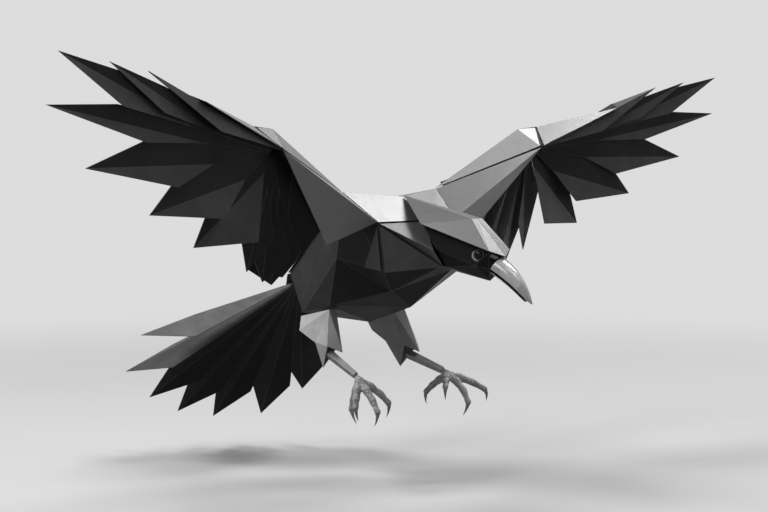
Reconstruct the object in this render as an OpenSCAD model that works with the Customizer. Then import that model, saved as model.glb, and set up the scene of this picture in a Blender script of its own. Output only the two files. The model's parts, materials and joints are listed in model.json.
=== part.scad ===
// Hanging raven folded from dark card, with raised wings, fanned tail and reaching feet.
// Lengths are in millimetres. X runs across the wings, -Y is forward and Z is up.
// The origin is the point on the back that the raven hangs from.

/* [Card] */
// Thickness of the folded card
card = 0.4; // [0.3:0.05:0.6]
// Space between two sheets that lie against each other
sheet_gap = 0.5; // [0.3:0.05:0.8]

/* [Body] */
// Width across the tops of the shoulders
shoulder_span = 86; // [78:1:96]
// Height of the shoulder tops above the hanging point
shoulder_rise = 5; // [2:0.5:8]
// Width across the front corners of the shoulders
breast_span = 72; // [64:1:78]
// Distance of those corners in front of the hanging point
breast_reach = 26; // [22:1:30]
// Depth of those corners below the hanging point
mantle_drop = 12; // [9:0.5:15]
// Width across the neck opening
neck_span = 40; // [36:1:44]
// Distance of the neck opening in front of the hanging point
neck_reach = 54; // [50:1:58]
// Depth of the widest part of the neck below the hanging point
neck_drop = 28; // [25:0.5:31]
// Depth of the throat below the hanging point
throat_drop = 41; // [38:0.5:44]
// Width across the flanks
flank_span = 84; // [76:1:90]
// Depth of the flanks below the hanging point
flank_drop = 34; // [30:1:38]
// Depth of the breast corners below the hanging point
breast_drop = 41; // [38:0.5:45]
// Depth of the belly below the hanging point
belly_drop = 76; // [70:1:82]
// Width across the rump
rump_span = 40; // [34:1:46]
// Distance of the rump behind the hanging point
rump_reach = 60; // [54:1:66]
// Depth of the rump below the hanging point
rump_drop = 46; // [42:1:50]

/* [Head] */
// Width across the rear corners of the crown
crown_span = 40; // [36:1:44]
// Length of the crown from its rear tip to the top of the forehead
crown_length = 55; // [50:1:60]
// Width of the flat strip on top of the crown
crest_width = 10; // [6:0.5:14]
// Width across the brows
brow_span = 20; // [17:0.5:24]
// Distance of the brows in front of the hanging point
brow_reach = 86; // [83:0.5:90]
// Depth of the brows below the hanging point
brow_drop = 27.5; // [25:0.5:30]
// Diameter of the glass of an eye
eye_diameter = 5; // [3.6:0.2:6]
// Diameter of the rim around an eye
eye_rim = 6.4; // [5:0.2:7.5]
// Width of the beak where it leaves the head
beak_width = 14; // [11:0.5:16]
// Height of the beak where it leaves the head
beak_height = 7; // [6:0.5:10]
// Length of the upper beak
beak_length = 33.5; // [28:0.5:38]
// Angle by which the upper beak turns down along its length
beak_hook = 42; // [20:1:50]
// Opening between the upper and the lower beak
beak_opening = 1.8; // [0.8:0.1:2.6]

/* [Wings] */
// Distance from the shoulder corner out to the wrist
arm_out = 84; // [76:1:92]
// Rise from the shoulder corner to the wrist
arm_rise = 42; // [36:1:48]
// Length of the hand cover beyond the wrist
hand_length = 71; // [64:1:84]
// Length of the lead feather from the wrist
lead_length = 120; // [105:1:130]
// Angle by which the wing fan leans forward at the top
fan_lean = 18.4; // [12:0.2:24]
// Angle by which the wing fan sweeps forward at its tips
fan_sweep = 3.2; // [0:0.2:8]
// Fold of each vane about the rib of a feather
vane_fold = 13; // [8:1:18]
// Twist of each feather that lays it over the next
shingle = 12; // [10:0.5:14]
// Setback of each feather behind the one before it
layer = 0.9; // [0.8:0.05:1.1]
// Setback of the fan behind the wrist
fan_setback = 4; // [3:0.1:5]
// Distance of the feather roots from the point of the wrist
root_gap = 4; // [3:0.5:8]
// Width of a feather at its root
root_width = 4; // [2.4:0.2:5]

/* [Tail] */
// Angle of the tail below level
tail_pitch = 40; // [30:1:50]
// Roll of the tail, with the right side raised
tail_roll = 27; // [10:1:32]
// Length of the middle tail feather
tail_length = 146; // [130:1:160]
// Distance of the tail feathers from the tail root
tail_gap = 6; // [5:0.5:9]
// Rise of each tail feather over the one on its right
tail_layer = 0.8; // [0.6:0.1:1.2]
// Width of a tail feather at its root
tail_root_width = 1.6; // [1:0.2:2]

/* [Legs] */
// Distance between the two legs
leg_span = 76; // [72:1:82]
// Depth of the open end of the left thigh below the hanging point
left_thigh_drop = 92; // [88:1:96]
// Depth of the open end of the right thigh below the hanging point
right_thigh_drop = 86; // [82:1:90]
// Length of the left shank from the thigh to the foot
left_shank = 25; // [21:1:28]
// Length of the right shank from the thigh to the foot
right_shank = 20; // [18:1:24]
// Length of a shank that is tucked into the thigh
shank_tuck = 3; // [0:0.5:4]
// Width of a folded shank
shank_width = 6.4; // [5.4:0.2:8]
// Slope of the left shank
left_slope = 17; // [10:1:30]
// Slope of the right shank
right_slope = 29; // [20:1:40]
// Length of a plain toe without its claw, of which each toe is a share
toe_length = 20; // [17:1:24]
// Radius of a toe at its root
toe_radius = 3; // [2.4:0.1:3.4]
// Turn of a claw against its toe
claw_turn = 15; // [0:1:30]
// Length of a claw
claw_length = 7.5; // [6:0.5:10]

/* [Node] */
// Piece to draw, or all of them

/* [Hidden] */
SIDES = ["left", "right"];
// Flight feathers from the wing tip in: angle in the fan, lean to the front, length,
// upper corner out from the axis and back from the tip, lower corner likewise,
// and where its crease leaves the lower edge: along and out from the axis
FLIGHT = [
    [17.5, 0.6, 149, 1.5, 45, 11, 48, 57, 8],
    [15.5, 1, 184, 4, 55, 12.5, 52, 72, 8],
    [7.6, 2.4, 183, 6.5, 50, 9.5, 74, 62, 5],
    [-2.4, 4.6, 151, 11, 46, 15, 68, 52, 6],
    [-17.4, 8, 106, 12, 28, 22, 53, 27, 10],
    [-43, 8.6, 78, 11, 30, 29, 33, 14, 8],
    [-84, 9.6, 71, 16, 36, 13, 20, 24, 4]
];
// Inner feathers in the same form, under the arm
INNER = [
    [-96, 9.6, 78, 12, 26, 16, 12, 26, 4],
    [-105, 7, 84, 16, 14, 18, 16, 28, 7],
    [-114, 4.8, 86, 19, 12, 26, 22, 20, 15]
];
// Tail feathers from the right: fan angle, length, twist, near and far half width, place in the stack
TAIL = [
    [35, 109, -75, 16, 4, 0],
    [23, 135, -76, 16, 5, 0],
    [10, 143, 9, 12, 12, 1],
    [0, tail_length, 9, 12, 12, 2],
    [-10, 143, 9, 12, 12, 3],
    [-23, 136, 9, 13, 13, 4],
    [-35, 112, 9, 13, 18, 5]
];
// Toes of each foot: turn away from forward, dip, curl at each knuckle, length
LEFT_TOES = [
    [0, 24, 19, 1.15 * toe_length],
    [46, 12, 9, 1.25 * toe_length],
    [-58, 20, 10, 0.6 * toe_length],
    [180, 28, 7, toe_length]
];
RIGHT_TOES = [
    [0, 41, 9, 1.1 * toe_length],
    [70, 58, 9, 0.8 * toe_length],
    [-50, 26, 11, 1.1 * toe_length],
    [180, 64, 6, 0.9 * toe_length]
];

// Corners of the body that several pieces share, on the left side
hang_point = [0, 0, 0];
nape = [0, -15, 1.5];
shoulder_top = [shoulder_span / 2, -5, shoulder_rise];
shoulder_front = [breast_span / 2, -breast_reach, -mantle_drop];
mantle_front = [0, -breast_reach - 5, -mantle_drop];
neck_side = [neck_span / 2, -neck_reach, -neck_drop];
throat_side = [0.3 * neck_span, -neck_reach - 0.5, -throat_drop + 3];
throat = [0, -neck_reach + 2, -throat_drop];
breast_corner = [breast_span / 2, -breast_reach - 4, -breast_drop];
breast_low = [0.3 * breast_span, -breast_reach + 2, -breast_drop - 13];
flank = [flank_span / 2, 2, -flank_drop];
flank_low = [leg_span / 2 - 4, 14, -belly_drop + 12];
belly_front = [0, -21, -belly_drop + 11];
belly = [0, 11, -belly_drop];
hip = [leg_span / 2 - 10, 42, -belly_drop + 6];
rump_side = [rump_span / 2, rump_reach, -rump_drop];
rump_top = [0, rump_reach + 4, -rump_drop - 1];
tail_end = [0, rump_reach + 2, -rump_drop - 18];

// Corners of the wing, on the left side
wrist = shoulder_front + [arm_out, -4, arm_rise];
wrist_inner = wrist + [-6.5, 14, 11.5];
wrist_outer = wrist + [9, 11.5, 12.5];

// How deep a covering sheet lies over the body
cover = card + sheet_gap;

function unit(v) = v / norm(v);
function total(v, i = 0) = i == len(v) - 1 ? v[i] : v[i] + total(v, i + 1);
function facet_normal(p, f) = unit(cross(p[f[1]] - p[f[0]], p[f[2]] - p[f[0]]));
function facets_at(facets, i) = [for (f = facets) if (len(search(i, f)) > 0) f];
function mirrored(p) = [for (q = p) [-q[0], q[1], q[2]]];

// How well direction u suits all normals n: 1 is along every one of them
function suits(n, u) = min([for (k = n) k * u]);
// Middle of the two normals that differ most, which suits a sharp fold
function middle_of(n) =
    let (pairs = [for (a = n) for (b = n) [a * b, a + b]])
    let (least = min([for (k = pairs) k[0]]))
    unit([for (k = pairs) if (k[0] == least) k[1]][0]);
// Step from point i of a sheet through the card, so that all facets keep one thickness
function through(p, facets, i) =
    let (n = [for (f = facets_at(facets, i)) facet_normal(p, f)])
    let (mean = unit(total(n)))
    let (u = suits(n, mean) < 0.4 ? middle_of(n) : mean)
    -u / max(suits(n, u), 0.5);
function moved_in(p, facets, d) = [for (i = [0:len(p) - 1]) p[i] + d * through(p, facets, i)];
function edges(facets) = [for (f = facets) for (k = [0:2]) [f[k], f[(k + 1) % 3]]];
function rim(e) = [for (a = e) if (len([for (b = e) if (b == [a[1], a[0]]) 1]) == 0) a];

// Points and facets of a sheet with two like sides: first the middle points, then the left ones
function both_points(middle, left) = concat(middle, left, mirrored(left));
function both_facets(facets, m, n) =
    concat(facets, [for (f = facets) [for (k = [2, 1, 0]) f[k] < m ? f[k] : f[k] + n]]);

// A folded sheet of card: triangles seen from its outer side, made thick on the inner side
module folded_sheet(p, facets) {
    n = len(p);
    r = rim(edges(facets));
    polyhedron(
        points = concat(p, moved_in(p, facets, card)),
        faces = concat(
            [for (f = facets) [f[2], f[1], f[0]]],
            [for (f = facets) [for (i = f) i + n]],
            [for (a = r) [a[0], a[1], a[1] + n]],
            [for (a = r) [a[0], a[1] + n, a[0] + n]]
        )
    );
}

// A flight feather along X: a flat blade whose lower corner is folded up along a crease
module flight_blade(long, upper, upper_back, lower, lower_back, crease, crease_out) {
    lower_at = long - lower_back;
    crease_at_lower = crease_out * lower_back / (long - crease);
    folded_sheet(
        [
            [root_gap, 0, 0],
            [root_gap, -root_width, 0],
            [crease, -crease_out, 0],
            [lower_at, -lower, (lower - crease_at_lower) * tan(vane_fold)],
            [long, 0, 0],
            [long - upper_back, upper, 0]
        ],
        [[0, 1, 2], [0, 2, 4], [0, 4, 5], [2, 3, 4]]
    );
}

// A tail feather along X, folded down on both sides of its rib
module tail_blade(long, left, right, back) {
    drop = -tan(vane_fold);
    folded_sheet(
        [
            [0, 0, 0],
            [long, 0, 0],
            [long - back, left, left * drop],
            [long - back, -right, right * drop],
            [0, tail_root_width / 2, 0],
            [0, -tail_root_width / 2, 0]
        ],
        [[0, 1, 2], [0, 2, 4], [0, 3, 1], [0, 5, 3]]
    );
}

// Draws a left-hand piece on either side
module on_side(side) {
    mirror([side == "right" ? 1 : 0, 0, 0]) children();
}

// Body
BODY_MIDDLE = [hang_point, mantle_front, throat, belly_front, belly, tail_end, rump_top];
BODY_LEFT = [
    shoulder_top, shoulder_front, neck_side, throat_side, breast_corner, breast_low,
    flank, flank_low, hip, rump_side
];
BODY_FACETS = [
    [0, 7, 16], [0, 16, 6], [7, 13, 16], [7, 8, 11], [7, 11, 13], [13, 11, 12], [13, 12, 14],
    [13, 14, 15], [13, 15, 16], [16, 15, 5], [16, 5, 6], [15, 14, 4], [15, 4, 5], [14, 12, 3],
    [14, 3, 4], [12, 11, 10], [12, 10, 2], [12, 2, 3], [8, 10, 11], [8, 9, 10], [1, 9, 8],
    [0, 1, 8], [0, 8, 7]
];
body_points = both_points(BODY_MIDDLE, BODY_LEFT);
body_facets = both_facets(BODY_FACETS, len(BODY_MIDDLE), len(BODY_LEFT));

module body_shell() {
    color("#26262a")
        folded_sheet(moved_in(body_points, body_facets, cover), body_facets);
}

module mantle() {
    middle = [nape, mantle_front, hang_point, rump_top];
    left = [shoulder_top, shoulder_front, rump_side];
    color("#2c2c30")
        folded_sheet(
            both_points(middle, left),
            both_facets([[0, 1, 5], [0, 5, 4], [0, 4, 2], [2, 4, 6], [2, 6, 3]], 4, 3)
        );
}

module collar() {
    top = mantle_front + [0.9, -0.6, -0.8];
    back = shoulder_front + [-0.6, -0.6, -1];
    color("#2a2a2e")
        folded_sheet(
            [top, back, neck_side, throat_side + [0.6, 0, 1.2]],
            [[0, 2, 1], [1, 2, 3]]
        );
}

module breast_front() {
    color("#29292d")
        folded_sheet(
            [
                shoulder_front + [0.4, -1.2, -2.1],
                throat_side + [0.7, -0.6, 0.1],
                breast_corner + [0.4, -1.4, 0]
            ],
            [[0, 1, 2]]
        );
}

module breast_rear() {
    color("#29292d")
        folded_sheet(
            [
                shoulder_front + [0.7, 0.5, -2.6],
                breast_corner + [0.7, 1.4, 0.6],
                0.04 * shoulder_top + 0.62 * breast_corner + 0.34 * flank + [1.2, 0, -1.5],
                0.3 * shoulder_top + 0.7 * breast_corner + [0.6, 0.3, 0]
            ],
            [[0, 1, 3], [3, 1, 2]]
        );
}

// Head
crown_tip = nape + [0, -0.8, 0.9];
crown_rear = [crown_span / 2, -neck_reach + 9.5, -mantle_drop - 1];
crest_front = [crest_width / 2, nape[1] - crown_length, -10];
brow = [brow_span / 2, -brow_reach, -brow_drop];
forehead_low = [0, -brow_reach - 4.5, -brow_drop - 3.5];
CROWN_MIDDLE = [crown_tip, [0, crest_front[1], crest_front[2]], forehead_low];
CROWN_LEFT = [crown_rear, crest_front, brow];
CROWN_FACETS = [[0, 4, 3], [0, 1, 4], [3, 4, 5], [1, 5, 4], [1, 2, 5]];

module crown() {
    color("#2c2c30")
        folded_sheet(
            both_points(CROWN_MIDDLE, CROWN_LEFT),
            both_facets(CROWN_FACETS, len(CROWN_MIDDLE), len(CROWN_LEFT))
        );
}

// The head hides under the crown by this much at its sides
brow_shade = 2.6;
head_top = crown_tip + [0, -19, -5.6];
head_crest = crest_front + [-1, 1, -1.6];
head_rear = crown_rear + [-brow_shade, -0.5, -2.2];
head_neck = neck_side + [-2.6, 0.4, 0.6];
head_throat = throat_side + [-1, -1.6, 0.2];
head_under = throat + [0, -1.8, 0];
gape = [beak_width / 2 + 4.5, -brow_reach + 9, -brow_drop - 9];
head_brow = brow + [-brow_shade, 1.8, -1.2];
head_front = forehead_low + [0, 2.4, -0.9];
beak_corner = [beak_width / 2, -brow_reach + 2, -brow_drop - 10.5];
chin = [0, -brow_reach + 6.5, -brow_drop - 18];
HEAD_MIDDLE = [head_top, [0, head_crest[1], head_crest[2]], head_front, chin, head_under];
HEAD_LEFT = [head_rear, head_crest, head_brow, gape, beak_corner, head_throat, head_neck];
HEAD_FACETS = [
    [0, 6, 5], [0, 1, 6], [5, 6, 7], [1, 7, 6], [1, 2, 7], [5, 7, 8], [5, 8, 11], [11, 8, 10],
    [7, 9, 8], [7, 2, 9], [9, 2, 3], [8, 9, 3], [8, 3, 10], [10, 3, 4]
];

module head_shell() {
    color("#1d1d20")
        folded_sheet(
            both_points(HEAD_MIDDLE, HEAD_LEFT),
            both_facets(HEAD_FACETS, len(HEAD_MIDDLE), len(HEAD_LEFT))
        );
}

// An eye sits on the cheek, near the line from the brow to the gape
cheek_normal = unit(cross(head_brow - head_rear, gape - head_rear));
eye_centre = 0.6 * head_brow + 0.32 * gape + 0.08 * head_rear;

module eye() {
    turn = acos(cheek_normal[2]);
    spin = atan2(cheek_normal[1], cheek_normal[0]);
    color("#0c0c0e")
        translate(eye_centre + sheet_gap / 4 * cheek_normal)
            rotate([0, turn, spin])
                rotate_extrude($fn = 48)
                    polygon(concat(
                        [[0, 0], [eye_rim / 2, 0], [eye_rim / 2, 0.5], [eye_rim / 2 - 0.4, 0.9]],
                        [for (a = [20:10:90]) [
                            eye_diameter / 2 * cos(a),
                            0.5 + eye_diameter / 3 * sin(a)
                        ]]
                    ));
}

// A small flap over the nostril lies on the front of the head, between brow and beak
module nostril_flap() {
    out = unit(cross(head_front - head_brow, beak_corner - head_brow));
    lift = (card + sheet_gap) * out;
    color("#2c2c30")
        folded_sheet(
            [
                0.86 * head_brow + 0.14 * head_front + lift,
                0.2 * head_brow + 0.74 * head_front + 0.06 * beak_corner + lift,
                0.36 * head_brow + 0.36 * head_front + 0.28 * beak_corner + lift + 0.5 * out,
                0.78 * head_brow + 0.22 * beak_corner + lift
            ],
            [[0, 1, 2], [0, 2, 3]]
        );
}

// Beak: rings along a curve that turns down by the hook angle
BEAK_RINGS = 12;
BEAK_SIDES = 16;
beak_root = forehead_low + [0, 2.2, -1];
beak_start = 29;
function beak_turn(s) = beak_start + beak_hook * s;
function beak_step(k) =
    let (a = beak_turn((k - 0.5) / BEAK_RINGS))
    beak_length / BEAK_RINGS * [0, -cos(a), -sin(a)];
function beak_line(k) = k == 0 ? beak_root : beak_line(k - 1) + beak_step(k);
// A ring is an arch: a ridge on top, full sides and a flat underside
function arch(k, wide, high) = [
    for (i = [0:BEAK_SIDES - 1])
        let (a = 180 * i / (BEAK_SIDES - 1))
        let (t = beak_turn(k / BEAK_RINGS))
        let (x = wide * cos(a), h = high * (pow(sin(a), 0.8) - 1))
        beak_line(k) + [x, h * -sin(t), h * cos(t)]
];
function taper(k) = pow(1 - pow(k / (BEAK_RINGS + 0.2), 1.6), 0.72);

// A solid through like rings, closed at both ends
module loft(rings) {
    n = len(rings[0]);
    m = len(rings);
    polyhedron(
        points = [for (r = rings) for (q = r) q],
        faces = concat(
            [[for (i = [0:n - 1]) i]],
            [for (j = [0:m - 2]) for (i = [0:n - 1])
                [j * n + i, (j + 1) * n + i, j * n + (i + 1) % n]],
            [for (j = [0:m - 2]) for (i = [0:n - 1])
                [j * n + (i + 1) % n, (j + 1) * n + i, (j + 1) * n + (i + 1) % n]],
            [[for (i = [n - 1:-1:0]) (m - 1) * n + i]]
        )
    );
}

module upper_beak() {
    color("#8b8b8d")
        loft([for (k = [0:BEAK_RINGS])
            arch(k, beak_width / 2 * taper(k), beak_height * taper(k))]);
}

// The lower beak follows the underside of the upper one
LOWER_RINGS = BEAK_RINGS - 1;
function under_line(k) =
    let (t = beak_turn(k / BEAK_RINGS))
    let (d = beak_height * taper(k) + beak_opening)
    beak_line(k) + d * [0, sin(t), -cos(t)];
function keel(k, wide, high) = [
    for (i = [0:BEAK_SIDES - 1])
        let (a = 180 * i / (BEAK_SIDES - 1))
        let (t = beak_turn(k / BEAK_RINGS))
        under_line(k) + [-wide * cos(a), high * sin(a) * sin(t), -high * sin(a) * cos(t)]
];

module lower_beak() {
    color("#7d7d80")
        loft([for (k = [0:LOWER_RINGS])
            keel(k, 0.86 * beak_width / 2 * taper(k), 0.26 * beak_height * taper(k))]);
}

// Wings
seam = [0, 0.55, 0.5];
arm_root_top = shoulder_top + [0.7, 0, 0];
arm_root_front = shoulder_front + [0.9, 0, 0];

module arm_front() {
    flap = shoulder_front + [30, 13, -12.5];
    color("#2c2c30")
        folded_sheet(
            [arm_root_top, arm_root_front, wrist, flap],
            [[0, 1, 2], [1, 3, 2]]
        );
}

module arm_back() {
    root = arm_root_top + seam;
    fold = 0.7 * root + 0.3 * wrist_inner;
    end = wrist + [-0.6, 0.7, 0.9];
    back_root = shoulder_top + [16, 9, -16];
    back_end = wrist + [-11, 15, -1];
    color("#2c2c30")
        folded_sheet(
            [root, end, wrist_inner, wrist_outer, back_end, back_root, fold],
            [[0, 1, 6], [6, 1, 2], [1, 3, 2], [6, 2, 4], [6, 4, 5]]
        );
}

// Places things in the plane of the wing fan: X out, Z up, -Y to the front
module wing_plane() {
    translate(wrist) rotate([0, 0, -fan_sweep]) rotate([fan_lean, 0, 0]) children();
}

module hand_cover() {
    color("#2c2c30")
        wing_plane()
            folded_sheet(
                [
                    [1.6, -0.8, 1.3],
                    [hand_length, 1, 0.377 * hand_length],
                    [10.4, 16, 8.4],
                    [24, 17, 8.4]
                ],
                [[0, 1, 2], [2, 1, 3]]
            );
}

module lead_feather() {
    color("#28282c")
        wing_plane()
            folded_sheet(
                [
                    [0.6, 0.6, 0],
                    [0.9415 * lead_length, 4.5, 0.337 * lead_length],
                    [0.47 * lead_length, -2.2, 0.095 * lead_length],
                    [0.62 * lead_length, 8.6, 0.225 * lead_length]
                ],
                [[0, 2, 1], [0, 1, 3]]
            );
}

// A feather of the fan, set back by its place in the row
module fan_feather(f, place) {
    color("#27272b")
        wing_plane()
            translate([0, fan_setback + layer * place, 0])
                rotate([90, -f[0], 0])
                    rotate([-shingle, -f[1], 0])
                        flight_blade(f[2], f[3], f[4], f[5], f[6], f[7], f[8]);
}

// Tail
tail_root = rump_top + [0, 3, -5.5];

module tail_plane() {
    translate(tail_root) rotate([0, tail_pitch, 90]) rotate([tail_roll, 0, 0]) children();
}

module tail_feather(f) {
    color("#27272b")
        tail_plane()
            translate([0, 0, tail_layer * f[5]])
                rotate([0, 0, f[0]])
                    translate([tail_gap, 0, 0])
                        rotate([f[2], 0, 0])
                            tail_blade(f[1] - tail_gap, f[3], f[4], 36);
}

module tail_cover() {
    lift = 6 * tail_layer;
    color("#2a2a2e")
        tail_plane()
            folded_sheet(
                [[-8, 0, 3.5], [17, 0, lift + 0.9], [1, 10, 1.8], [1, -10, lift - 0.1]],
                [[0, 1, 2], [0, 3, 1]]
            );
}

// Legs
leg = leg_span / 2;
function of_side(side, left, right) = side == "left" ? left : right;
function thigh_drop(side) = of_side(side, left_thigh_drop, right_thigh_drop);

module thigh(side) {
    low = -thigh_drop(side);
    top = flank_low + [0, 0, -1.2];
    top_rear = hip + [0, 0, -1.2];
    bulge = [leg - 2, 36, low + 7];
    rear = [leg, 21.5, low + 1];
    outer = [leg + 4.5, 8, low];
    front = [leg - 2, 1.5, low - 3.5];
    inner = [leg - 8, 9, low + 0.5];
    inner_rear = [leg - 8, 24, low + 2];
    heel = [leg - 2, 17, low - 14];
    inner_top = top + [-9, 2, -2];
    inner_bulge = [leg - 8, 35, low + 8];
    color("#36363a")
        folded_sheet(
            [
                top, top_rear, bulge, rear, outer, front, inner, inner_rear, heel,
                inner_top, inner_bulge
            ],
            [
                [0, 2, 1], [0, 3, 2], [0, 4, 3], [0, 5, 4], [0, 9, 5], [9, 6, 5], [9, 7, 6],
                [9, 10, 7], [9, 1, 10], [1, 2, 10], [10, 2, 3], [10, 3, 7], [3, 4, 8], [7, 3, 8], [6, 7, 8]
            ]
        );
}

// Runs along a shank from the thigh to the foot: X forward along the shank, Z up
module along_shank(side) {
    translate([leg - 1, 8, -thigh_drop(side) - 6])
        rotate([0, of_side(side, left_slope, right_slope), -90])
            children();
}

function shank_length(side) = of_side(side, left_shank, right_shank);

module shank(side) {
    w = shank_width / 2;
    color("#36363a")
        along_shank(side)
            loft([for (k = [0, 1])
                [for (q = [[w, 0], [0, 0.8 * w], [-w, 0], [0, -1.2 * w]])
                    concat(
                        k * shank_length(side) - (1 - k) * shank_tuck,
                        (1 - 0.25 * k) * q
                    )]]);
}

// Knuckles of a toe: each bone dips more than the last
function toe_dip(t, k) = t[1] + t[2] * k + (k > 2 ? claw_turn : 0);
function toe_step(t, k, d) = d * [cos(toe_dip(t, k)), 0, -sin(toe_dip(t, k))];
function knuckle(t, k) = k == 0 ? [0, 0, 0] : knuckle(t, k - 1) + toe_step(t, k - 1, t[3] / 3);

// Radius of a claw from its root to its point
function claw(k) = 0.12 + toe_radius * (0.48 - 0.16 * k);

module bone(a, ra, b, rb) {
    hull() {
        translate(a) sphere(ra, $fn = 10);
        translate(b) sphere(rb, $fn = 10);
    }
}

module toe(t) {
    tip = knuckle(t, 3);
    rotate([0, 0, t[0]]) {
        for (k = [0:2]) {
            mid = (knuckle(t, k) + knuckle(t, k + 1)) / 2;
            bone(knuckle(t, k), toe_radius * (1 - 0.12 * k), mid, toe_radius * (0.78 - 0.1 * k));
            bone(mid, toe_radius * (0.78 - 0.1 * k), knuckle(t, k + 1), toe_radius * (0.88 - 0.12 * k));
        }
        for (k = [0:2]) {
            a = tip + toe_step(t, 3, claw_length / 3 * k);
            b = tip + toe_step(t, 3, claw_length / 3 * (k + 1));
            sag = [-0.4, 0, -0.2];
            bone(a + k * k * sag, claw(k), b + (k + 1) * (k + 1) * sag, claw(k + 1));
        }
    }
}

module foot(side) {
    slope = of_side(side, left_slope, right_slope);
    color("#8a8a8c")
        along_shank(side)
            translate([shank_length(side) + 1.1 * toe_radius + 0.9, 0, -2])
                rotate([0, -slope, 0]) {
                    bone([-0.9, 0, 1.6], 2, [0.8, 0, -0.8], 2.6);
                    for (t = of_side(side, LEFT_TOES, RIGHT_TOES)) toe(t);
                }
}

// Drawing
body_shell();
mantle();
head_shell();
crown();
upper_beak();
lower_beak();
tail_cover();
for (s = SIDES) {
    on_side(s) collar();
    on_side(s) breast_front();
    on_side(s) breast_rear();
    on_side(s) eye();
    on_side(s) nostril_flap();
    on_side(s) arm_front();
    on_side(s) arm_back();
    on_side(s) hand_cover();
    on_side(s) lead_feather();
    for (i = [1:len(FLIGHT)])
        on_side(s) fan_feather(FLIGHT[i - 1], i);
    for (i = [1:len(INNER)])
        on_side(s) fan_feather(INNER[i - 1], len(FLIGHT) + i);
    on_side(s) thigh(s);
    on_side(s) shank(s);
    on_side(s) foot(s);
}
for (i = [1:len(TAIL)])
    tail_feather(TAIL[i - 1]);
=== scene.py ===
import json
import math

import bmesh
import bpy
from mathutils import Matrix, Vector
from mathutils.bvhtree import BVHTree


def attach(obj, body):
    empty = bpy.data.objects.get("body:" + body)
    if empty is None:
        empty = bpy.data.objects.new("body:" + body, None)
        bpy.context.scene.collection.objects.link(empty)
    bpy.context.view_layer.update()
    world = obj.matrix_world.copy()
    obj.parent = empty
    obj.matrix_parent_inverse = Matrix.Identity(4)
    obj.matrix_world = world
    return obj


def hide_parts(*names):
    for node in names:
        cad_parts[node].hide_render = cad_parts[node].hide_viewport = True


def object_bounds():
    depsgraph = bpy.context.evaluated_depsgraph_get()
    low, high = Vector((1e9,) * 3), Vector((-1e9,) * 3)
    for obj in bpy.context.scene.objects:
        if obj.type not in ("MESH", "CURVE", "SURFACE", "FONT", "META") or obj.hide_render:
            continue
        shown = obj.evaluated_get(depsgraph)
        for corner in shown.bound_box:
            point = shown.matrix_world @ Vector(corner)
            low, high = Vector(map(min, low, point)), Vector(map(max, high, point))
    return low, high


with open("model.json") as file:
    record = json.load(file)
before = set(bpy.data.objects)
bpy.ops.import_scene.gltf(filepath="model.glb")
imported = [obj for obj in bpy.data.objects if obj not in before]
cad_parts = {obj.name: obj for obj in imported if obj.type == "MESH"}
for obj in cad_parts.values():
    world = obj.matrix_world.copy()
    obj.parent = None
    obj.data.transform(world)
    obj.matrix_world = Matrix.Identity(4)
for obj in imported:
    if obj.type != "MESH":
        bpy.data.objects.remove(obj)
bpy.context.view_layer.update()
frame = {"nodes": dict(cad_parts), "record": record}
nodes = frame["nodes"]
scene = bpy.context.scene
scene.view_settings.view_transform = "Standard"

# Lengths are in metres and angles in degrees.
SIDES = ("left", "right")
WELD_REACH = 2e-6

# Folded sheets
PLAIN, RUBBED_HIGHLIT, PAINTED_LIT = 0, 1, 2  # a sheet's material slots: the plain card, its rubbed folds made lighter as wear and painted highlight, and a paler copy of the card as painted light
# these nodes are painted lighter all over: painted light
PAINTED_LIT_NODES = ("breast_", "tail_feather_1", "tail_feather_2")
FANNED = ("lead_feather", "flight_feather", "inner_feather")
SAME_PANEL_ANGLE = 0.5
FOLD_ANGLE = 3.0
FOLD_ROUND = 0.00011

# Beak
BEAK_LEVELS = 2
BEAK_CREASE_ANGLE = 55.0
MOUTH_WAY = Vector((0.0, 0.77, -0.64))  # the way the upper half's mouth side faces
MOUTH_COSINE = 0.6  # faces at least this near to that way are inside the mouth
MIDDLE_REACH = 1e-4  # such faces also cross the middle plane by this on both sides

# Glue tabs. Corners are counted outward from the body.
FAN = [f"flight_feather_{i}" for i in range(1, 8)] + [f"inner_feather_{i}" for i in range(1, 4)]
ROOT_CORNERS = 4  # of a feather of the fan, nearest the wrist
LEAD_TOP = 4  # of the lead feather: the outer end of its top edge
COVER_BACK = (2, 4)  # of the hand cover: the ends of its back edge
ARM_TOP = 8  # of the arm's back panel: the inner end of its top edge
ARM_WRIST = 10  # the outer end of the seam between the arm's panels
ARM_END = 12  # the outer end of the top edge
TAB_THICK = 0.00025
PATCH_RADIUS, PATCH_SHIFT, PATCH_STEPS = 0.0085, 0.0030, 12
GUSSET_DROP = 0.0028
SEAM_TAB_WIDTH, SEAM_TAB_SINK = 0.0055, 0.0009
ROOT_TRIM, WRIST_TRIM = 0.006, 0.001

# Feet
FOOT_VOXEL = 0.00034
FOOT_SOFTENING, FOOT_SOFT_ROUNDS = 0.5, 3
CLAW_THICK = 0.0023  # what is thinner is claw
RAY_INSET = 1e-5

# Eyes, with heights above the flat back
EYE_STEPS = 40
AXIS_STEP = 3
BACK_REACH = 0.0002
GLASS_BACK_RADIUS, GLASS_BACK_HEIGHT = 0.0026, 0.0004
GLASS_RADIUS, GLASS_SILL, GLASS_RISE = 0.00245, 0.0006, 0.0015
RING_RADIUS, RING_HEIGHT = 0.00276, 0.00056
RING_HALF_WIDTH, RING_HALF_DEPTH = 0.00028, 0.00030
LID_RADIUS, LID_HEIGHT = 0.0036, 0.00055
LID_START, LID_SWEEP = -35.0, 135.0
LID_THIN, LID_SWELL, LID_FULLNESS, LID_WIDEN = 0.00008, 0.00048, 0.8, 1.3
LID_STEPS, LID_AROUND = 24, 8

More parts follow.
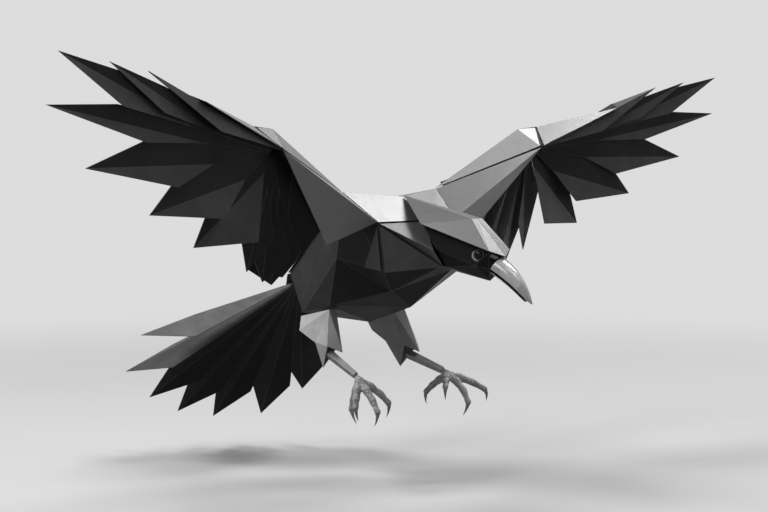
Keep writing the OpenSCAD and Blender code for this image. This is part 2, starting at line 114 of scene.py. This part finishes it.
# Stage
BACKDROP = (0.72, 0.72, 0.73, 1.0)
FLOOR_DROP = 0.02  # below the lowest claw
FLOOR_HALF, FLOOR_CELLS = 6.0, 8
FLOOR_DARKER, FLOOR_LIGHTER = (0.66, 0.66, 0.67), (0.70, 0.70, 0.71)
FLOOR_BOUNCE = (0.10, 0.10, 0.10, 1.0)  # the floor's colour for light that bounces off it
FADE_START, FADE_END = 0.25, 1.10  # from the point under the origin
WORLD_LIGHT, WORLD_SEEN = 0.10, 1.0
LAMPS = (  # name, place, width, depth, watts; each is aimed at the origin
    ("key_above", (0.74, -0.11, 0.86), 0.30, 0.56, 6.2),  # mirrored by mantle and forehead
    ("front_top", (0.22, -0.55, 1.00), 0.26, 0.26, 2.0),  # mirrored by the far arm's top
    ("left_high", (-0.85, -0.10, 0.80), 0.30, 0.45, 3.6),
    ("rear_left", (-0.47, 0.58, 0.90), 0.45, 0.45, 8.0),
)
CAMERA_PLACE = Vector((-0.8769, -0.7358, 0.0409))
CAMERA_AIM = Vector((0.0, 0.0, -0.0345))
LENS_MM, SENSOR_MM = 89.6, 36.0
CLIP_START, CLIP_END = 0.01, 60.0


# Materials

def new_material(name):
    """A material with a bare Principled shader, and object coordinates to pattern it by."""
    mat = bpy.data.materials.new(name)
    mat.use_nodes = True
    tree = mat.node_tree
    tree.nodes.clear()
    out = tree.nodes.new("ShaderNodeOutputMaterial")
    bsdf = tree.nodes.new("ShaderNodeBsdfPrincipled")
    tree.links.new(bsdf.outputs["BSDF"], out.inputs["Surface"])
    coord = tree.nodes.new("ShaderNodeTexCoord").outputs["Object"]
    return mat, tree, bsdf, coord


def noise_node(tree, coord, scale, detail, rough, stretch=None):
    """Noise over the object, drawn out along the axes whose stretch is under 1."""
    node = tree.nodes.new("ShaderNodeTexNoise")
    node.inputs["Scale"].default_value = scale
    node.inputs["Detail"].default_value = detail
    node.inputs["Roughness"].default_value = rough
    vector = coord
    if stretch:
        mapping = tree.nodes.new("ShaderNodeMapping")
        mapping.inputs["Scale"].default_value = stretch
        tree.links.new(coord, mapping.inputs["Vector"])
        vector = mapping.outputs["Vector"]
    tree.links.new(vector, node.inputs["Vector"])
    return node.outputs["Fac"]


def ramp_into(tree, socket, fac, *stops):
    """Feeds a socket from a factor, through stops of a position and a colour or grey."""
    node = tree.nodes.new("ShaderNodeValToRGB")
    ramp = node.color_ramp
    while len(ramp.elements) < len(stops):
        ramp.elements.new(0.5)
    for element, (pos, col) in zip(ramp.elements, stops):
        element.position = pos
        element.color = (*col, 1.0) if hasattr(col, "__len__") else (col, col, col, 1.0)
    tree.links.new(fac, node.inputs["Fac"])
    tree.links.new(node.outputs["Color"], socket)


def bump_node(tree, height, strength, distance, under=None):
    """A bump from a height, on top of the one under it."""
    node = tree.nodes.new("ShaderNodeBump")
    node.inputs["Strength"].default_value = strength
    node.inputs["Distance"].default_value = distance
    tree.links.new(height, node.inputs["Height"])
    if under is not None:
        tree.links.new(under, node.inputs["Normal"])
    return node.outputs["Normal"]


def shade(col, k):
    """A colour made darker or lighter by a factor."""
    return tuple(min(1.0, c * k) for c in col)


def card_material(name, col, rough, gloss, ior=1.5, wavy=0.35, streaky=0.06, tooth_depth=0.07):
    """Card: mottled dye, long fibres, a fine tooth and a slow wave across each panel."""
    mat, tree, bsdf, coord = new_material(name)
    mottle = noise_node(tree, coord, scale=55.0, detail=4.0, rough=0.6)
    ramp_into(
        tree, bsdf.inputs["Base Color"], mottle,
        (0.28, shade(col, 0.78)), (0.55, col), (0.75, shade(col, 1.28)),
    )
    streak = noise_node(tree, coord, scale=260.0, detail=3.0, rough=0.5, stretch=(1.0, 0.25, 1.0))
    ramp_into(
        tree, bsdf.inputs["Roughness"], streak, (0.3, rough - streaky), (0.7, rough + streaky)
    )
    bsdf.inputs["Specular IOR Level"].default_value = gloss
    bsdf.inputs["IOR"].default_value = ior
    wave = noise_node(tree, coord, scale=16.0, detail=1.0, rough=0.4)
    fibre = noise_node(tree, coord, scale=700.0, detail=3.0, rough=0.6, stretch=(1.0, 0.2, 1.0))
    tooth = noise_node(tree, coord, scale=2600.0, detail=2.0, rough=0.5)
    bump = bump_node(tree, wave, strength=wavy, distance=0.006)
    bump = bump_node(tree, fibre, strength=tooth_depth, distance=0.0003, under=bump)
    bump = bump_node(tree, tooth, strength=tooth_depth, distance=0.0002, under=bump)
    tree.links.new(bump, bsdf.inputs["Normal"])
    return mat


def edge_material(name, col, rough):
    """Rubbed fold or cut edge, where the lighter core of the card shows in patches; on the folds
    of the dark cards this lightness is also painted highlight.
    """
    mat, tree, bsdf, coord = new_material(name)
    wear = noise_node(tree, coord, scale=180.0, detail=4.0, rough=0.65)
    ramp_into(
        tree, bsdf.inputs["Base Color"], wear,
        (0.32, shade(col, 0.45)), (0.52, col), (0.74, shade(col, 1.7)),
    )
    ramp_into(tree, bsdf.inputs["Roughness"], wear, (0.3, rough), (0.7, rough + 0.15))
    tooth = noise_node(tree, coord, scale=1800.0, detail=2.0, rough=0.5)
    bump = bump_node(tree, tooth, strength=0.15, distance=0.0002)
    tree.links.new(bump, bsdf.inputs["Normal"])
    return mat


def beak_material(name, col):
    """Polished horn with darker clouds and faint growth lines."""
    mat, tree, bsdf, coord = new_material(name)
    cloud = noise_node(tree, coord, scale=120.0, detail=4.0, rough=0.55)
    ramp_into(
        tree, bsdf.inputs["Base Color"], cloud,
        (0.3, shade(col, 0.62)), (0.52, col), (0.75, shade(col, 1.25)),
    )
    lines = noise_node(tree, coord, scale=420.0, detail=2.0, rough=0.5, stretch=(1.0, 0.12, 0.12))
    ramp_into(tree, bsdf.inputs["Roughness"], lines, (0.3, 0.16), (0.7, 0.28))
    bsdf.inputs["Coat Weight"].default_value = 0.5
    bsdf.inputs["Coat Roughness"].default_value = 0.12
    bump = bump_node(tree, lines, strength=0.12, distance=0.0004)
    tree.links.new(bump, bsdf.inputs["Normal"])
    return mat


def scale_material(name, col):
    """Skin of the toes: small scales with darker joints between them."""
    mat, tree, bsdf, coord = new_material(name)
    cells = tree.nodes.new("ShaderNodeTexVoronoi")
    cells.feature = "DISTANCE_TO_EDGE"
    cells.inputs["Scale"].default_value = 430.0
    tree.links.new(coord, cells.inputs["Vector"])
    from_joint = cells.outputs["Distance"]
    ramp_into(
        tree, bsdf.inputs["Base Color"], from_joint,
        (0.0, shade(col, 0.62)), (0.12, col), (0.40, shade(col, 1.25)),
    )
    tone = noise_node(tree, coord, scale=160.0, detail=4.0, rough=0.6)
    ramp_into(tree, bsdf.inputs["Roughness"], tone, (0.3, 0.36), (0.7, 0.56))
    grain = noise_node(tree, coord, scale=1500.0, detail=3.0, rough=0.6)
    bump = bump_node(tree, from_joint, strength=0.55, distance=0.0010)
    bump = bump_node(tree, grain, strength=0.12, distance=0.0003, under=bump)
    tree.links.new(bump, bsdf.inputs["Normal"])
    return mat


def claw_material(name, col):
    """Streaked horn, for the claws and the inside of the beak."""
    mat, tree, bsdf, coord = new_material(name)
    streak = noise_node(tree, coord, scale=500.0, detail=3.0, rough=0.55, stretch=(1.0, 1.0, 0.15))
    ramp_into(
        tree, bsdf.inputs["Base Color"], streak,
        (0.3, shade(col, 0.5)), (0.55, col), (0.8, shade(col, 1.6)),
    )
    ramp_into(tree, bsdf.inputs["Roughness"], streak, (0.3, 0.2), (0.7, 0.34))
    bump = bump_node(tree, streak, strength=0.15, distance=0.0003)
    tree.links.new(bump, bsdf.inputs["Normal"])
    return mat


def glass_material(name, col, fleck):
    """Dark glass eye: a deep iris colour with faint flecks."""
    mat, tree, bsdf, coord = new_material(name)
    flecks = noise_node(tree, coord, scale=1400.0, detail=3.0, rough=0.6)
    ramp_into(tree, bsdf.inputs["Base Color"], flecks, (0.35, col), (0.75, fleck))
    ramp_into(tree, bsdf.inputs["Roughness"], flecks, (0.3, 0.03), (0.7, 0.07))
    bsdf.inputs["Specular IOR Level"].default_value = 0.14
    return mat


CARD = {
    "black_card": card_material("card_black", (0.036, 0.036, 0.038), 0.44, 0.08),
    # The satin card is a paler, glossier copy of the black card, on the panels that catch the top
    # lamps: its paler base is painted light.
    "satin_card": card_material(
        "card_satin_painted_light", (0.080, 0.080, 0.083), 0.37, 0.75,
        ior=1.7, wavy=0.02, streaky=0.015, tooth_depth=0.02,
    ),
    "dark_card": card_material("card_dark", (0.012, 0.012, 0.013), 0.46, 0.08),
    "leg_card": card_material("card_leg", (0.56, 0.56, 0.57), 0.42, 0.40),
}
# Fold strips: lighter than their card as rubbed wear and painted highlight, except on the leg
# card, where they are darker.
EDGE = {
    "black_card": edge_material("edge_black_rubbed_highlit", (0.06, 0.06, 0.063), 0.45),
    "satin_card": edge_material("edge_satin_painted_light", (0.18, 0.18, 0.185), 0.42),
    "dark_card": edge_material("edge_dark_rubbed_highlit", (0.045, 0.045, 0.048), 0.48),
    "leg_card": edge_material("edge_leg", (0.46, 0.46, 0.465), 0.42),
}
# A paler copy of the black card, for panels that are lit: painted light.
PAINTED_LIT_FACE = card_material("card_painted_lit_face", (0.100, 0.100, 0.104), 0.42, 0.14)
BEAK = beak_material("beak_horn", (0.58, 0.58, 0.59))
MOUTH = claw_material("beak_mouth", (0.020, 0.019, 0.019))
SKIN = scale_material("toe_scales", (0.58, 0.58, 0.585))
CLAW = claw_material("claw_horn", (0.34, 0.34, 0.345))
GLASS = glass_material("eye_glass", (0.003, 0.003, 0.003), (0.012, 0.010, 0.009))
RING = edge_material("eye_ring", (0.08, 0.08, 0.082), 0.32)
LID = edge_material("eye_lid", (0.34, 0.34, 0.345), 0.32)


# Pieces

def linked(name, bm, materials, slot, *stands_for):
    """A piece made of a bmesh, in place of the CAD node that it stands for, if any."""
    mesh = bpy.data.meshes.new(name)
    bm.to_mesh(mesh)
    bm.free()
    for m in materials:
        mesh.materials.append(m)
    obj = bpy.data.objects.new(name, mesh)
    scene.collection.objects.link(obj)
    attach(obj, "root")
    if stands_for:
        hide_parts(*stands_for)
    return obj


def welded(node):
    """A copy of a CAD node's mesh with its corners joined."""
    bm = bmesh.new()
    bm.from_mesh(nodes[node].data)
    bmesh.ops.remove_doubles(bm, verts=bm.verts, dist=WELD_REACH)
    return bm


def panel_tone(node, normal):
    """The card of a panel: a paler copy of the card, as painted light, for those nodes and for fan
    panels that are lit in the photo.
    """
    if node.startswith(PAINTED_LIT_NODES):
        return PAINTED_LIT
    # true of both faces of a panel that leans up and to the front
    leans_up = normal.y * normal.z < 0.0
    return PAINTED_LIT if node.startswith(FANNED) and leans_up else PLAIN


def card_piece(node, slot):
    """A folded sheet with its folds and cut edges rounded, rubbed and made lighter as painted
    highlight, and some panels in a paler copy of the card as painted light.
    """
    bm = welded(node)
    bmesh.ops.dissolve_limit(
        bm, angle_limit=math.radians(SAME_PANEL_ANGLE), use_dissolve_boundaries=False,
        verts=bm.verts, edges=bm.edges, delimit=set(),
    )
    # lit panels take the paler copy of the card: painted light
    for f in bm.faces:
        f.material_index = panel_tone(node, f.normal)
    folds = [
        e for e in bm.edges
        if len(e.link_faces) == 2 and e.calc_face_angle(0.0) > math.radians(FOLD_ANGLE)
    ]
    # the rounded folds take the edge card: rubbed wear and painted highlight
    bmesh.ops.bevel(
        bm, geom=folds, offset=FOLD_ROUND, offset_type="OFFSET", segments=2, profile=0.6,
        affect="EDGES", clamp_overlap=True, material=RUBBED_HIGHLIT, loop_slide=True,
    )
    bmesh.ops.triangulate(bm, faces=[f for f in bm.faces if len(f.verts) > 4])
    for f in bm.faces:
        f.smooth = False
    return linked(node + "_card", bm, [CARD[slot], EDGE[slot], PAINTED_LIT_FACE], slot, node)


def beak_piece(node, mouth_way):
    """A beak half made smooth, with crisp ends and a dark inside on its mouth side."""
    bm = welded(node)
    crease = bm.edges.layers.float.new("crease_edge")
    for e in bm.edges:
        sharp = e.calc_face_angle(0.0) > math.radians(BEAK_CREASE_ANGLE)
        e[crease] = 1.0 if sharp else 0.0
    for f in bm.faces:
        f.smooth = True
        x = [v.co.x for v in f.verts]
        crosses = min(x) < -MIDDLE_REACH and max(x) > MIDDLE_REACH
        f.material_index = 1 if crosses and f.normal.dot(mouth_way) > MOUTH_COSINE else 0
    obj = linked(node + "_horn", bm, [BEAK, MOUTH], "beak_resin", node)
    smooth = obj.modifiers.new("smooth", "SUBSURF")
    smooth.levels = BEAK_LEVELS
    smooth.render_levels = BEAK_LEVELS
    return obj


def corners(node):
    """The corners of a sheet, from the body out."""
    bm = welded(node)
    found = sorted((v.co.copy() for v in bm.verts), key=lambda p: abs(p.x))
    bm.free()
    return found


def square_to(way, *axes):
    """A direction made square to axes that are square to each other."""
    for axis in axes:
        way = way - axis * way.dot(axis)
    return way.normalized()


def circle(bm, centre, u, v, steps):
    """Points around a centre, on the ellipse with half axes u and v."""
    turns = [2 * math.pi * k / steps for k in range(steps)]
    return [bm.verts.new(centre + u * math.cos(t) + v * math.sin(t)) for t in turns]


def four_sided(bm, spots):
    """Two triangles between four points that needn't be flat."""
    a, b, c, d = [bm.verts.new(p) for p in spots]
    bm.faces.new((a, b, c))
    bm.faces.new((a, c, d))


def tab_piece(name, bm):
    """Flat faces thickened to tabs of black card."""
    bmesh.ops.recalc_face_normals(bm, faces=bm.faces)
    bmesh.ops.solidify(bm, geom=bm.faces[:], thickness=TAB_THICK)
    return linked(name, bm, [CARD["black_card"]], "black_card")


def fan_root(side, wrist):
    """The middle of the feathers' roots, just behind the rearmost."""
    roots = []
    for name in FAN:
        blade = sorted(corners(name + "_" + side), key=lambda p: (p - wrist).length)
        roots += blade[:ROOT_CORNERS]
    middle = sum(roots, Vector()) / len(roots)
    middle.y = max(p.y for p in roots) + 2 * TAB_THICK
    return middle


def wrist_tabs(side):
    """Glue tabs at the wrist: a strip under the hand cover, a patch behind the feather roots,
    a gusset from the patch forward to the wrist and a web from it up to the panels' back."""
    cover = corners("hand_cover_" + side)
    lead = corners("lead_feather_" + side)
    arm_top = corners("arm_back_" + side)[ARM_TOP]
    along = (lead[-1] - lead[0]).normalized()
    across = square_to(Vector((0.0, -1.0, 0.0)), along).cross(along)
    patch = fan_root(side, cover[0]) - along * PATCH_SHIFT
    bm = bmesh.new()
    four_sided(bm, (cover[0], cover[-1], lead[LEAD_TOP], lead[0]))
    drop = Vector((0.0, 0.0, GUSSET_DROP))
    four_sided(bm, (lead[0], patch + drop, patch - drop, lead[0] - drop))
    hub = bm.verts.new(patch)
    reach = along * PATCH_RADIUS
    rim = (patch - reach, arm_top, *(cover[k] for k in COVER_BACK), patch + reach)
    rim = [bm.verts.new(p) for p in rim]
    for a, b in zip(rim, rim[1:]):
        bm.faces.new((hub, a, b))
    bm.faces.new(circle(bm, patch, reach, across * PATCH_RADIUS, PATCH_STEPS))
    return tab_piece("wrist_tabs_" + side, bm)


def arm_tabs(side):
    """Glue tabs behind the seams between the arm's two panels and between arm and hand."""
    arm = corners("arm_back_" + side)
    root, wrist, top = arm[0], arm[ARM_WRIST], arm[ARM_TOP]
    normal = (wrist - root).cross(top - root).normalized()
    if normal.y > 0:
        normal.negate()
    bm = bmesh.new()
    for start, end, trim in ((root, wrist, ROOT_TRIM), (wrist, arm[ARM_END], WRIST_TRIM)):
        seam = (end - start).normalized()
        half = normal.cross(seam) * SEAM_TAB_WIDTH / 2
        first = start + seam * trim - normal * SEAM_TAB_SINK
        last = end - seam * trim - normal * SEAM_TAB_SINK
        spots = (first - half, last - half, last + half, first + half)
        bm.faces.new([bm.verts.new(p) for p in spots])
    return tab_piece("arm_tabs_" + side, bm)


def foot_piece(side):
    """A foot made smooth, with claws told from toes by how thin they are."""
    node = "foot_" + side
    obj = linked(node + "_skin", welded(node), [SKIN, CLAW], "claw_resin", node)
    remesh = obj.modifiers.new("even", "REMESH")
    remesh.mode = "VOXEL"
    remesh.voxel_size = FOOT_VOXEL
    soft = obj.modifiers.new("soft", "SMOOTH")
    soft.factor = FOOT_SOFTENING
    soft.iterations = FOOT_SOFT_ROUNDS
    depsgraph = bpy.context.evaluated_depsgraph_get()
    mesh = bpy.data.meshes.new_from_object(obj.evaluated_get(depsgraph))
    obj.modifiers.clear()
    bm = bmesh.new()
    bm.from_mesh(mesh)
    walls = BVHTree.FromBMesh(bm)
    for f in bm.faces:
        f.smooth = True
        inside = f.calc_center_median() - f.normal * RAY_INSET
        thick = walls.ray_cast(inside, -f.normal)[3]
        f.material_index = 1 if thick is not None and thick < CLAW_THICK else 0
    bm.to_mesh(obj.data)
    bm.free()
    return obj


def bridge(bm, rings, material):
    """Smooth faces between neighbouring rings of points, where one point makes a tip."""
    for a, b in zip(rings, rings[1:]):
        steps = max(len(a), len(b))
        for k in range(steps):
            j = (k + 1) % steps
            loop = [a[k % len(a)], a[j % len(a)], b[j % len(b)], b[k % len(b)]]
            f = bm.faces.new(list(dict.fromkeys(loop)))
            f.material_index = material
            f.smooth = True


def lathe(bm, profile, base, axis, material):
    """A profile of (radius, height) turned about an axis."""
    u = axis.orthogonal().normalized()
    v = axis.cross(u)
    rings = []
    for radius, height in profile:
        centre = base + axis * height
        if radius > 0.0:
            rings.append(circle(bm, centre, u * radius, v * radius, EYE_STEPS))
        else:
            rings.append([bm.verts.new(centre)])
    bridge(bm, rings, material)


def lid(bm, base, axis, material):
    """A crescent behind and below the eye, thickest in its middle."""
    back = square_to(Vector((0.0, 1.0, 0.0)), axis)
    down = square_to(Vector((0.0, 0.0, -1.0)), axis, back)
    rings = []
    for i in range(LID_STEPS + 1):
        t = i / LID_STEPS
        turn = math.radians(LID_START + LID_SWEEP * t)
        way = back * math.cos(turn) + down * math.sin(turn)
        thick = LID_THIN + LID_SWELL * math.sin(math.pi * t) ** LID_FULLNESS
        centre = base + way * LID_RADIUS + axis * LID_HEIGHT
        rings.append(circle(bm, centre, way * thick * LID_WIDEN, axis * thick, LID_AROUND))
    bridge(bm, rings, material)
    for end in (rings[0], rings[-1]):
        bm.faces.new(end).material_index = material


def eye_axis(points, side):
    """The way an eye looks, found as its thinnest direction."""
    outward = 1.0 if side == "left" else -1.0
    ways = []
    for a in range(0, 180, AXIS_STEP):
        for b in range(-60, 60 + AXIS_STEP, AXIS_STEP):
            turn, rise = math.radians(a), math.radians(b)
            ways.append(Vector((
                outward * math.sin(turn) * math.cos(rise),
                -math.cos(turn),
                math.sin(turn) * math.sin(rise),
            )).normalized())

    def thickness(way):
        heights = [p.dot(way) for p in points]
        return max(heights) - min(heights)

    axis = min(ways, key=thickness)
    return -axis if axis.x * outward < 0 else axis


def eye_piece(side):
    """A glass dome in a narrow ring, with a lid, placed on the CAD eye's flat back."""
    points = [v.co.copy() for v in nodes["eye_" + side].data.vertices]
    axis = eye_axis(points, side)
    low = min(p.dot(axis) for p in points)
    back = [p for p in points if p.dot(axis) < low + BACK_REACH]
    base = sum(back, Vector()) / len(back)
    base += axis * (low - base.dot(axis))
    glass = [(0.0, GLASS_BACK_HEIGHT), (GLASS_BACK_RADIUS, GLASS_BACK_HEIGHT)]
    for turn in map(math.radians, range(0, 90, 6)):
        glass.append((GLASS_RADIUS * math.cos(turn), GLASS_SILL + GLASS_RISE * math.sin(turn)))
    glass.append((0.0, GLASS_SILL + GLASS_RISE))
    ring = []
    for turn in map(math.radians, range(-90, 271, 20)):
        ring.append((
            RING_RADIUS + RING_HALF_WIDTH * math.cos(turn),
            RING_HEIGHT + RING_HALF_DEPTH * math.sin(turn),
        ))
    bm = bmesh.new()
    lathe(bm, glass, base, axis, 0)
    lathe(bm, ring, base, axis, 1)
    lid(bm, base, axis, 2)
    bmesh.ops.recalc_face_normals(bm, faces=bm.faces)
    return linked("eye_" + side + "_glass", bm, [GLASS, RING, LID], "eye_glass", "eye_" + side)


slots = {m["node"]: m["material_slot"] for m in frame["record"]["subparts"]}
for node in sorted(nodes):
    if slots[node] in CARD:
        card_piece(node, slots[node])
beak_piece("upper_beak", MOUTH_WAY)
beak_piece("lower_beak", -MOUTH_WAY)
for side in SIDES:
    wrist_tabs(side)
    arm_tabs(side)
for side in SIDES:
    foot_piece(side)
for side in SIDES:
    eye_piece(side)


# Stage, light and camera

def math_node(tree, operation, a, b):
    """The named operation on two outputs."""
    node = tree.nodes.new("ShaderNodeMath")
    node.operation = operation
    tree.links.new(a, node.inputs[0])
    tree.links.new(b, node.inputs[1])
    return node.outputs["Value"]


def mix_node(tree, fac, a, b):
    """Shader a where the factor is 0 and b where it is 1."""
    node = tree.nodes.new("ShaderNodeMixShader")
    tree.links.new(fac, node.inputs["Fac"])
    tree.links.new(a, node.inputs[1])
    tree.links.new(b, node.inputs[2])
    return node.outputs["Shader"]


def seen_ray(tree):
    """1 for rays that show the backdrop: to the camera, in a reflection or through glass."""
    path = tree.nodes.new("ShaderNodeLightPath").outputs
    shown = math_node(tree, "MAXIMUM", path["Is Camera Ray"], path["Is Glossy Ray"])
    return math_node(tree, "MAXIMUM", shown, path["Is Transmission Ray"])


def floor_material():
    """Pale floor that keeps the shadow and runs into the backdrop away from the object."""
    mat, tree, bsdf, coord = new_material("floor_pale")
    tone = noise_node(tree, coord, scale=3.0, detail=3.0, rough=0.5)
    ramp_into(tree, bsdf.inputs["Base Color"], tone, (0.3, FLOOR_DARKER), (0.7, FLOOR_LIGHTER))
    bsdf.inputs["Roughness"].default_value = 0.85
    far = tree.nodes.new("ShaderNodeEmission")
    far.inputs["Color"].default_value = BACKDROP
    bounce = tree.nodes.new("ShaderNodeBsdfDiffuse")
    bounce.inputs["Color"].default_value = FLOOR_BOUNCE
    reach = tree.nodes.new("ShaderNodeVectorMath")
    reach.operation = "LENGTH"
    tree.links.new(coord, reach.inputs[0])
    fade = tree.nodes.new("ShaderNodeMapRange")
    fade.interpolation_type = "SMOOTHSTEP"
    fade.inputs["From Min"].default_value = FADE_START
    fade.inputs["From Max"].default_value = FADE_END
    tree.links.new(reach.outputs["Value"], fade.inputs["Value"])
    seen = seen_ray(tree)
    seen_far = math_node(tree, "MULTIPLY", fade.outputs["Result"], seen)
    near = mix_node(tree, seen, bounce.outputs["BSDF"], bsdf.outputs["BSDF"])
    surface = mix_node(tree, seen_far, near, far.outputs["Emission"])
    tree.links.new(surface, tree.nodes["Material Output"].inputs["Surface"])
    return mat


def lay_floor():
    """A wide floor a little below the lowest claw."""
    bm = bmesh.new()
    bmesh.ops.create_grid(
        bm, x_segments=FLOOR_CELLS, y_segments=FLOOR_CELLS, size=FLOOR_HALF
    )
    mesh = bpy.data.meshes.new("floor")
    bm.to_mesh(mesh)
    bm.free()
    mesh.materials.append(floor_material())
    floor = bpy.data.objects.new("floor", mesh)
    lowest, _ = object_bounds()
    floor.location = (0.0, 0.0, lowest.z - FLOOR_DROP)
    scene.collection.objects.link(floor)


def aimed(name, data, place, aim):
    """A lamp or camera that looks from a place to an aim."""
    obj = bpy.data.objects.new(name, data)
    obj.location = place
    obj.rotation_mode = "QUATERNION"
    obj.rotation_quaternion = (aim - Vector(place)).to_track_quat("-Z", "Y")
    scene.collection.objects.link(obj)
    return obj


def hang_lamp(name, place, width, depth, watts):
    """A soft lamp aimed at the origin."""
    data = bpy.data.lights.new(name, "AREA")
    data.shape = "RECTANGLE"
    data.size = width
    data.size_y = depth
    data.energy = watts
    aimed(name, data, place, Vector())


def light_world():
    """A world that is seen at the backdrop's colour and lights the object only a little."""
    world = bpy.data.worlds.new("studio")
    scene.world = world
    world.use_nodes = True
    tree = world.node_tree
    tree.nodes.clear()
    out = tree.nodes.new("ShaderNodeOutputWorld")
    background = tree.nodes.new("ShaderNodeBackground")
    background.inputs["Color"].default_value = BACKDROP
    level = tree.nodes.new("ShaderNodeMapRange")
    level.inputs["To Min"].default_value = WORLD_LIGHT
    level.inputs["To Max"].default_value = WORLD_SEEN
    tree.links.new(seen_ray(tree), level.inputs["Value"])
    tree.links.new(level.outputs["Result"], background.inputs["Strength"])
    tree.links.new(background.outputs["Background"], out.inputs["Surface"])


def set_camera():
    """The photograph's viewing angle."""
    data = bpy.data.cameras.new("camera")
    data.lens = LENS_MM
    data.sensor_width = SENSOR_MM
    data.clip_start = CLIP_START
    data.clip_end = CLIP_END
    scene.camera = aimed("camera", data, CAMERA_PLACE, CAMERA_AIM)


lay_floor()
for lamp in LAMPS:
    hang_lamp(*lamp)
light_world()
set_camera()
